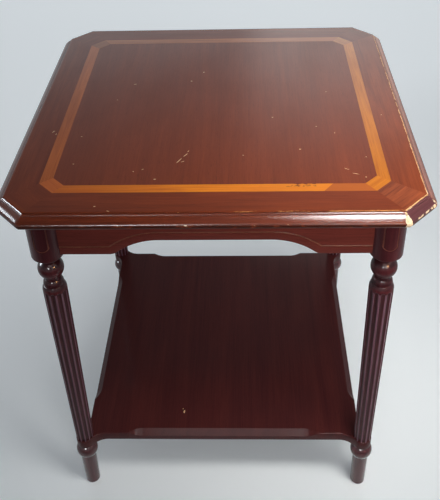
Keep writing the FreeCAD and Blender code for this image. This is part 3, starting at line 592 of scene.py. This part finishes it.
def chip_at(name, half, out, along, height):
    """How deep a chip goes at a place on the mouldings, in mm, and how far its lacquer is worn through there.
    """
    rough = noise.noise(Vector((along * 0.35, height * 0.5, out * 0.5)))
    deep, wear_and_painted_light = 0.0, 0.0
    from_end = half + out * mitre - abs(along)
    if out > handled_from and from_end < handled_run:
        deep = handled_deep * (out - handled_from) * (1 - from_end / handled_run) ** 2
    if name == "front" and along > 0 or name == "front_right" and along < 0:
        at_step, growth = BROKEN_ENDS[name]
        swell = min(1.0, max(0.0, (out - handled_from) / handled_run))
        reach = at_step + growth * swell + 1.2 * rough
        if out > broken_from and from_end < reach:
            deep = broken_deep * (1 - max(0.0, from_end / reach) ** 2)
            wear_and_painted_light = 1.0
    if name == "front" and dent_near < out < dent_far and height > dent_low:
        dent = 0.35 + noise.noise(Vector((along * 0.25, 7.0, 0.0)))
        deep = max(deep, dent_deep * max(0.0, dent))
    if name == "front_right" and along > 0 and out > rubbed_end_from and from_end < rubbed_end + rough:
        wear_and_painted_light = 0.6
    if name == "front_right" and out > chip_from:
        for place, size in NOSE_CHIPS:
            gap = math.hypot(along - place, (height - chip_height) * 1.3)
            if gap < size + chip_ragged * rough:
                deep = max(deep, chip_deep * (1 - (gap / (size + chip_ragged)) ** 2))
                wear_and_painted_light = 1.0
    return deep, wear_and_painted_light


def wear_at(name, facing, out, along, height, wear_and_painted_light):
    """The moulding's mark once its step and nose are rubbed: below nought for the dark line in the step's
    corner and the painted shade under the nose.
    """
    if out <= step_wide and height > step_low and name in RUBBED_EDGES:
        wear_and_painted_light = max(wear_and_painted_light, 0.3 + 0.4 * noise.noise(Vector((along * 0.06, facing * 0.3, 0.0))))
    elif out < corner_line_wide and corner_line_low < height < corner_line_high:
        wear_and_painted_light = corner_line_dark
    # Painted shade: below shade_from the nose darkens down its underside, to the full at shade_run below.
    if out > shade_out and height < shade_from and wear_and_painted_light <= 0.0:
        wear_and_painted_light = min(wear_and_painted_light, max(-1.0, (height - shade_from) / shade_run))
    rubbed = 0.02 + 0.42 * noise.noise(Vector((along * 0.11, facing * 0.7, height * 0.2)))
    if height > nose_rub_low and out > nose_rub_out and rubbed > nose_rub_least:
        wear_and_painted_light = max(wear_and_painted_light, rubbed)
    return wear_and_painted_light


for number, (name, facing, out, half) in enumerate(EDGES):
    rings, wear_and_painted_light = [], []
    for way in ways_along(half, 0.5):
        ring, marks = [], []
        for step, height in moulding_section:
            along = way * (half + step * mitre)
            deep, mark = chip_at(name, half, step, along, height)
            ring.append(on_edge(facing, out + step - deep * 0.8, along, height - deep * 0.3))
            marks.append(wear_at(name, facing, step, along, height, mark))
        rings.append(ring)
        wear_and_painted_light.append(marks)
    tones = shade_and_sheen_tones if name == "front_right" else moulding_tones
    peel = 1.2 if name == "front" else 0.4
    moulding_finish = stained_wood("moulding_finish_" + name, (0, 0, facing + 90), tones,
                                   gloss=(0.3, 0.42, 0.085), seed=12.0 + number, figure=(0.25, 0.008),
                                   pores=0.35, worn=chipped_tones, peel=peel)
    moulding = skin("moulding_" + name, rings, wear_and_painted_light=wear_and_painted_light)
    moulding.data.materials.append(moulding_finish)
    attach(moulding, "root")
    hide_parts("edge_moulding_" + name)

# Crossbands: eight strips of veneer round the edge of the top, mitred at the corners, grain along each strip.
# They are glued to the core, and the outer edge is rubbed through to bare wood on the right and its corner.
top_face, veneer = 512.96, 0.96
inlay_line, inlay_cut = 190.8, 17.6
band_soft, band_margin, band_rubbed = 0.5, 2.0, 0.6
plain_band_tones = (0.125, 0.0205, 0.006), (0.23, 0.042, 0.0112)
BAND_TONES = {
    "front_right": ((0.08, 0.0165, 0.0075), (0.33, 0.072, 0.022)),
    "right": ((0.14, 0.024, 0.006), (0.26, 0.049, 0.0112)),
}
worn_band_tones = (0.42, 0.15, 0.045), (0.6, 0.27, 0.09)
bare_band_tones = (0.62, 0.3, 0.11), (0.8, 0.5, 0.24)


def strip_ends(line, cut, corner):
    """How far out a side strip's or a corner strip's edge lies, and its half length there."""
    if corner:
        return (2 * line - cut) / math.sqrt(2), cut / math.sqrt(2)
    return line, line - cut


def band_wear(name, facing, half, along):
    """How far a crossband's outer edge is worn through at a place along it."""
    rubbed = 0.66 if name in RUBBED_EDGES else 0.2
    if name == "front":
        rubbed = 0.3 + 0.32 * along / half
    return rubbed + 0.2 * noise.noise(Vector((along * 0.05, facing * 0.3, 0.0)))


for number, (name, facing, far, far_half) in enumerate(EDGES):
    near, near_half = strip_ends(inlay_line, inlay_cut, name in CORNERS)
    section = [(near, top_face - veneer), (near, top_face), (near * 0.5 + far * 0.5, top_face)]
    section += [(far - band_margin, top_face), (far - band_soft, top_face)]
    section += [(far - band_soft * 0.3, top_face - band_soft * 0.3)]
    section += [(far, top_face - band_soft), (far, top_face - veneer)]
    rings, wear_and_painted_light = [], []
    for way in ways_along(far_half, 1.0):
        ring, marks = [], []
        for out, height in section:
            along = way * (near_half + (far_half - near_half) * (out - near) / (far - near))
            ring.append(on_edge(facing, out, along, height))
            marks.append(band_wear(name, facing, far_half, along) if out > far - band_rubbed else 0.0)
        rings.append(ring)
        wear_and_painted_light.append(marks)
    rubbed_tones = bare_band_tones if name in RUBBED_EDGES else worn_band_tones
    tones = BAND_TONES.get(name, plain_band_tones)
    band_finish = stained_wood("crossband_finish_" + name, (0, 0, facing + 90), tones,
                               gloss=(0.36, 0.42, 0.2), seed=20.0 + number, figure=(0.16, 0.012),
                               pores=0.45, worn=rubbed_tones)
    band = skin("crossband_strip_" + name, rings, wear_and_painted_light=wear_and_painted_light)
    band.data.materials.append(band_finish)
    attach(band, "root")
    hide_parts("crossband_" + name)

# Inlay: eight strips of paler, figured veneer between the crossbands and the field, mitred like them.
# It is honey-coloured in front and darker on the left and at the back. The front strip is darker at its left
# end, and has a golden stretch, a slanted joint to a redder length and a patch of dark specks.
INLAY_TONES = {
    "front": ((0.52, 0.112, 0.006), (0.87, 0.28, 0.01)),
    "front_right": ((0.38, 0.096, 0.004), (0.64, 0.21, 0.01)),
    "right": ((0.35, 0.09, 0.004), (0.58, 0.185, 0.008)),
    "back_right": ((0.3, 0.08, 0.009), (0.5, 0.17, 0.022)),
    "back": ((0.25, 0.058, 0.008), (0.45, 0.122, 0.02)),
    "back_left": ((0.2, 0.046, 0.006), (0.35, 0.094, 0.014)),
    "left": ((0.3, 0.064, 0.0105), (0.54, 0.134, 0.022)),
    "front_left": ((0.42, 0.082, 0.014), (0.6, 0.15, 0.026)),
}
dim_tone, golden_tone, redder_tone = (0.47, 0.1, 0.014), (0.62, 0.185, 0.009), (0.31, 0.062, 0.012)
dim_full, dim_end, dim_share = -0.17, -0.03, 0.75
golden_from, golden_full, golden_share = 0.045, 0.075, 0.6
joint_slant, joint_line, redder_share = -0.8, 0.2702, 0.75
speck_tone, speck_size, speck_start = (0.07, 0.02, 0.008), (0.005, 0.0018, 0.0018), (0.013, 0.007, 0.0)
speck_from, speck_full, speck_share = 0.54, 0.6, 0.85
SPECKED = (("X", 0.094, 0.016), ("Y", -0.18, 0.0027))
for number, (name, facing, out, half) in enumerate(EDGES):
    inlay_finish = stained_wood("inlay_finish_" + name, (0, 0, facing + 90), INLAY_TONES[name],
                                gloss=(0.34, 0.5, 0.2), seed=30.0 + number, figure=(0.11, 0.008), pores=0.3)
    if name == "front":
        tree = inlay_finish.node_tree
        paint = tree.nodes["Principled BSDF"].inputs["Base Color"]
        colour = paint.links[0].from_socket
        spot = place_on(tree)
        at_left = between(tree, spot["X"], dim_full, dim_end, dim_share, 0.0)
        colour = blend_of(tree, at_left, colour, dim_tone)
        at_right = between(tree, spot["X"], golden_from, golden_full, 0.0, golden_share)
        colour = blend_of(tree, at_right, colour, golden_tone)
        slant = sums(tree, "MULTIPLY_ADD", spot["Y"], joint_slant, spot["X"])
        past_joint = sums(tree, "GREATER_THAN", slant, joint_line)
        colour = blend_of(tree, sums(tree, "MULTIPLY", past_joint, redder_share), colour, redder_tone)
        specks = streaks(tree, speck_size, 1.0, 0.5, start=speck_start)
        specks = between(tree, specks, speck_from, speck_full, 0.0, speck_share)
        for direction, middle, reach in SPECKED:
            specks = sums(tree, "MULTIPLY", sums(tree, "COMPARE", spot[direction], middle, reach), specks)
        tree.links.new(blend_of(tree, specks, colour, speck_tone), paint)
    dress("inlay_" + name, inlay_finish)

# Field: the middle panel of the top, one sheet of straight-grained veneer glued down front to back.
# It is stained red-brown, and its lacquer has dulled to a satin.
field_line, field_cut, field_inset = 177.3, 14.2, 3.0
field_tones = (0.138, 0.0235, 0.0066), (0.212, 0.038, 0.0104)
top_under = top_face - veneer
rings = []
for inset, height in ((field_inset, top_under), (0.0, top_under), (0.0, top_face), (field_inset, top_face)):
    ring = []
    for facing in FACINGS.values():
        out, half = strip_ends(field_line, field_cut, False)
        for way in (-1, 1):
            ring.append(on_edge(facing, out - inset, way * (half - inset * mitre), height))
    rings.append(ring)
field_finish = stained_wood("field_finish", FRONT_TO_BACK, field_tones, gloss=(0.38, 0.42, 0.22), seed=40.0,
                            figure=(0.6, 0.02))
field = skin("field_sheet", rings)
field.data.materials.append(field_finish)
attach(field, "root")
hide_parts("top_field_veneer")

# Nicks: small flakes and scratches where the lacquer of the top has gone down to pale bare wood.
# Each is a ragged sliver let into the veneer: place, length, width and angle, in mm and degrees.
NICKS = (
    (-21.5, 83.6, 2.4, 1.5, 70), (-36.9, 58.8, 2.6, 1.4, 20), (-111.8, 51.9, 4.0, 0.9, 5),
    (139.5, 25.5, 1.5, 0.9, 0), (68.2, -37.9, 1.8, 1.4, 0), (201.5, -34.7, 1.5, 1.0, 40),
    (-197.2, -66.2, 5.0, 0.8, 60), (-193.0, -72.0, 3.5, 0.7, 80), (-161.0, -78.1, 2.0, 0.9, 10),
    (140.5, -74.9, 3.0, 0.7, 80), (97.3, -109.8, 2.2, 1.7, 0), (32.0, -121.3, 1.4, 0.9, 0),
    (-160.0, -136.1, 1.8, 1.0, 0), (-80.1, -147.7, 2.2, 1.0, 30), (-64.6, -166.9, 2.6, 1.1, 10),
    (154.8, -159.3, 7.0, 0.7, -20), (146.0, -150.0, 6.0, 0.6, -35), (170.5, -126.6, 1.6, 0.8, 0),
    (165.3, -165.8, 1.8, 1.0, 0), (-123.1, -214.8, 2.2, 1.5, 0), (-107.8, -223.0, 3.2, 1.0, -20),
    (-31.2, -112.2, 4.0, 0.9, 70), (-34.0, -120.0, 9.0, 1.0, 55), (-40.5, -131.0, 11.0, 1.0, 60),
    (-36.0, -133.0, 5.0, 0.7, 30), (-90.0, -152.0, 1.6, 0.9, 0), (120.0, -60.0, 1.4, 0.8, 0),
    (-130.0, 10.0, 1.4, 0.8, 0),
)
top_nicks = slivers("top_nicks", NICKS, top_face, nick_wood)
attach(top_nicks, "root")

# Floor: a wide painted board for the table to stand on, pale with faint clouds in its tone.
# The eye and the gloss see it pale, with a glow that grows to the back and far away. Light that bounces off
# it to the wood is greyer.
floor_half, cloud_size = 6.0, 1 / 1.2
pale_tones = (0.79, 0.845, 0.87), (0.84, 0.885, 0.905)
bounce_tone, glow_tone = (0.4, 0.42, 0.44), (0.93, 0.97, 1.0)
glow_lean, back_from, back_full, back_share = -0.6, -0.45, 0.75, 0.3
far_from, far_full, far_share = 0.9, 3.0, 0.5


def flat_sheet(name, squares, half_wide, half_long, middle):
    """A level sheet cut into squares, round a middle point."""
    shape = bmesh.new()
    bmesh.ops.create_grid(shape, x_segments=squares, y_segments=squares, size=1.0)
    bmesh.ops.scale(shape, vec=(half_wide, half_long, 1.0), verts=shape.verts)
    bmesh.ops.translate(shape, vec=middle, verts=shape.verts)
    mesh = bpy.data.meshes.new(name)
    shape.to_mesh(mesh)
    shape.free()
    sheet = bpy.data.objects.new(name, mesh)
    bpy.context.scene.collection.objects.link(sheet)
    return sheet


floor = flat_sheet("floor", 12, floor_half, floor_half, (0.0, 0.0, 0.0))
floor_paint, tree, shader = new_finish("floor_paint")
spot = place_on(tree)
ray = tree.nodes.new("ShaderNodeLightPath").outputs
seen = sums(tree, "MAXIMUM", ray["Is Camera Ray"], ray["Is Glossy Ray"])
seen = sums(tree, "MAXIMUM", seen, ray["Is Transmission Ray"])
cloud = streaks(tree, (cloud_size, cloud_size, cloud_size), 3.0, 0.5)
to_back = sums(tree, "MULTIPLY_ADD", spot["X"], glow_lean, spot["Y"])
back_glow = between(tree, to_back, back_from, back_full, 0.0, back_share)
far_glow = between(tree, reach_of(tree, spot["X"], spot["Y"]), far_from, far_full, 0.0, far_share)
surface = {
    "Base Color": blend_of(tree, seen, bounce_tone, blend_of(tree, cloud, *pale_tones)),
    "Roughness": 0.6,
    "Emission Color": glow_tone,
    "Emission Strength": sums(tree, "MULTIPLY", seen, sums(tree, "MAXIMUM", back_glow, far_glow)),
}
for label, given in surface.items():
    feed(tree, shader.inputs[label], given)
floor.data.materials.append(floor_paint)

# Dark card: a sheet of dark paper on the floor in front of the table, for its gloss alone: a painted shade
# seen in reflections.
# It keeps the pale floor out of the lacquer of the front apron and the legs, and fades out near them.
card_half_wide, card_half_long, card_middle = 1.6, 1.0, (0.0, -1.35, 0.004)
card_full, card_end = -0.75, -0.4
card = flat_sheet("dark_card", 8, card_half_wide, card_half_long, card_middle)
card.visible_camera = False
card.visible_diffuse = False
card.visible_shadow = False
card_paper, tree, shader = new_finish("card_paper")
spot = place_on(tree)
paper = {
    "Base Color": (0.06, 0.05, 0.05),
    "Roughness": 0.8,
    "Alpha": between(tree, spot["Y"], card_full, card_end, 1.0, 0.0),
}
for label, given in paper.items():
    feed(tree, shader.inputs[label], given)
card.data.materials.append(card_paper)

# Walls: the pale walls of a plain studio under a dim ceiling, as an even light from all round.
# The change from wall to ceiling is a soft one, between about 23 and 33 degrees up.
wall_tone, ceiling_tone = (0.76, 0.81, 0.86), (0.13, 0.138, 0.15)
wall_top, ceiling_from, room_light = 0.39, 0.55, 0.79
studio = bpy.data.worlds.new("studio")
bpy.context.scene.world = studio
studio.use_nodes = True
tree = studio.node_tree
walls = tree.nodes["Background"]
way = tree.nodes.new("ShaderNodeSeparateXYZ")
tree.links.new(tree.nodes.new("ShaderNodeTexCoord").outputs["Generated"], way.inputs["Vector"])
up = between(tree, way.outputs["Z"], wall_top, ceiling_from, 0.0, 1.0)
tree.links.new(blend_of(tree, up, wall_tone, ceiling_tone), walls.inputs["Color"])
walls.inputs["Strength"].default_value = room_light

# Lamps: soft boxes that light the whole table, and smaller ones that show in the gloss alone.
# Most of the small ones shine on the turned pieces or the mouldings only, so that the flat top has no glare.
turned_pieces = bpy.data.collections.new("turned_pieces")
for corner in CORNERS:
    turned_pieces.objects.link(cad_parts["leg_" + corner])
    turned_pieces.objects.link(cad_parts["foot_" + corner])
mouldings = bpy.data.collections.new("mouldings")
for name, facing, out, half in EDGES:
    mouldings.objects.link(bpy.data.objects["moulding_" + name])
round_pieces = bpy.data.collections.new("round_pieces")
round_pieces.children.link(turned_pieces)
round_pieces.children.link(mouldings)
warm_white, cool_white = (1.0, 0.97, 0.93), (0.85, 0.93, 1.0)
top_middle, table_middle, left_corner = (0.0, 0.0, 0.5), (0.0, 0.0, 0.4), (-0.2, -0.2, 0.5)


def soft_box(name, place, aim, size, radiance, colour=(1.0, 1.0, 1.0), glint=False, beam=90, only=None):
    """A flat lamp that looks as bright as radiance, aimed at a point. A glint lamp shows in the gloss alone.
    A beam under 90 degrees keeps the light that far from its axis, and only holds the pieces it lights."""
    wide, tall = size
    lamp = bpy.data.lights.new(name, "AREA")
    lamp.shape = "RECTANGLE"
    lamp.size, lamp.size_y = wide, tall
    lamp.energy = radiance * wide * tall * math.pi
    if beam < 90:
        lamp.spread = math.radians(2 * beam)
        lamp.energy *= 1 - math.radians(beam) / math.tan(math.radians(beam))
    lamp.color = colour
    holder = bpy.data.objects.new(name, lamp)
    bpy.context.scene.collection.objects.link(holder)
    holder.location = place
    holder.rotation_euler = (Vector(aim) - Vector(place)).to_track_quat("-Z", "Y").to_euler()
    holder.visible_camera = False
    holder.visible_diffuse = not glint
    if only:
        holder.light_linking.receiver_collection = only


soft_box("box_overhead", (0.32, -0.42, 1.26), (0.26, -0.19, 0.5), (0.3, 0.26), 40.0, warm_white, beam=30)
soft_box("box_front_right", (1.3, -0.8, 1.7), (0.15, 0.0, 0.3), (1.0, 1.0), 2.2, warm_white)
soft_box("box_right_near", (0.34, -0.95, 0.75), (0.2, -0.2, 0.35), (0.34, 0.34), 14.5, (1.0, 0.96, 0.94),
         beam=25)
soft_box("window_back_right", (0.52, 2.7, 1.75), (0.1, 0.0, 0.5), (0.9, 0.9), 1.9, (1.0, 0.97, 0.94))
soft_box("wall_back", (-0.2, 3.1, 1.5), top_middle, (3.2, 0.8), 1.4, (0.95, 0.98, 1.0))
soft_box("strip_overhead", (0.31, -0.41, 1.25), (0.2, -0.3, 0.5), (0.2, 0.22), 62.0, (0.87, 0.95, 1.0),
         glint=True, only=round_pieces)
soft_box("strip_left_low", (-1.6, -0.05, 0.8), left_corner, (0.4, 0.5), 50.0, cool_white,
         glint=True, only=turned_pieces)
soft_box("strip_left_middle", (-1.48, 0.0, 1.07), left_corner, (0.3, 0.08), 46.0, cool_white,
         glint=True, only=mouldings)
soft_box("strip_left_high", (-1.25, 0.55, 1.62), left_corner, (0.5, 0.4), 50.0, cool_white,
         glint=True, only=round_pieces)
soft_box("card_back_right", (1.58, 2.1, 0.75), (0.23, 0.0, 0.5), (1.3, 0.8), 1.9, (1.0, 0.68, 0.55),
         glint=True, only=mouldings)
soft_box("card_by_camera", (0.1, -1.3, 1.45), (0.0, -0.19, 0.09), (0.9, 0.4), 3.0, glint=True)
soft_box("lamp_white", (-0.45, -2.49, 1.4), table_middle, (0.5, 0.5), 42.0, glint=True, only=round_pieces)
soft_box("lamp_warm", (0.45, -0.75, 0.76), table_middle, (0.16, 0.16), 65.0, (1.0, 0.5, 0.2),
         glint=True, only=round_pieces)

# Camera: it stands in front of the table, a little to its right and above it, and looks down on the top.
# The focus is in rows of a frame 500 rows tall, and the lens is shifted so that its axis meets row 158.
focus, frame_rows, middle_row, film_wide = 751.1386, 500, 158.0, 36.0
pitch, yaw, roll = 0.592, -0.0422, -0.0324
forward = Vector((math.sin(yaw) * math.cos(pitch), math.cos(yaw) * math.cos(pitch), -math.sin(pitch)))
level = Vector((math.cos(yaw), -math.sin(yaw), 0.0))
upright = level.cross(forward)
across = level * math.cos(roll) + upright * math.sin(roll)
upward = upright * math.cos(roll) - level * math.sin(roll)
camera = bpy.data.objects.new("camera", bpy.data.cameras.new("camera"))
bpy.context.scene.collection.objects.link(camera)
stand = Matrix.Translation((0.0355682, -0.8329603, 0.9884752))
camera.matrix_world = stand @ Matrix((across, upward, -forward)).transposed().to_4x4()
camera.data.sensor_width = film_wide
camera.data.lens = film_wide * focus / frame_rows
camera.data.shift_y = (middle_row - frame_rows / 2) / frame_rows
bpy.context.scene.camera = camera
bpy.context.scene.view_settings.view_transform = "Standard"
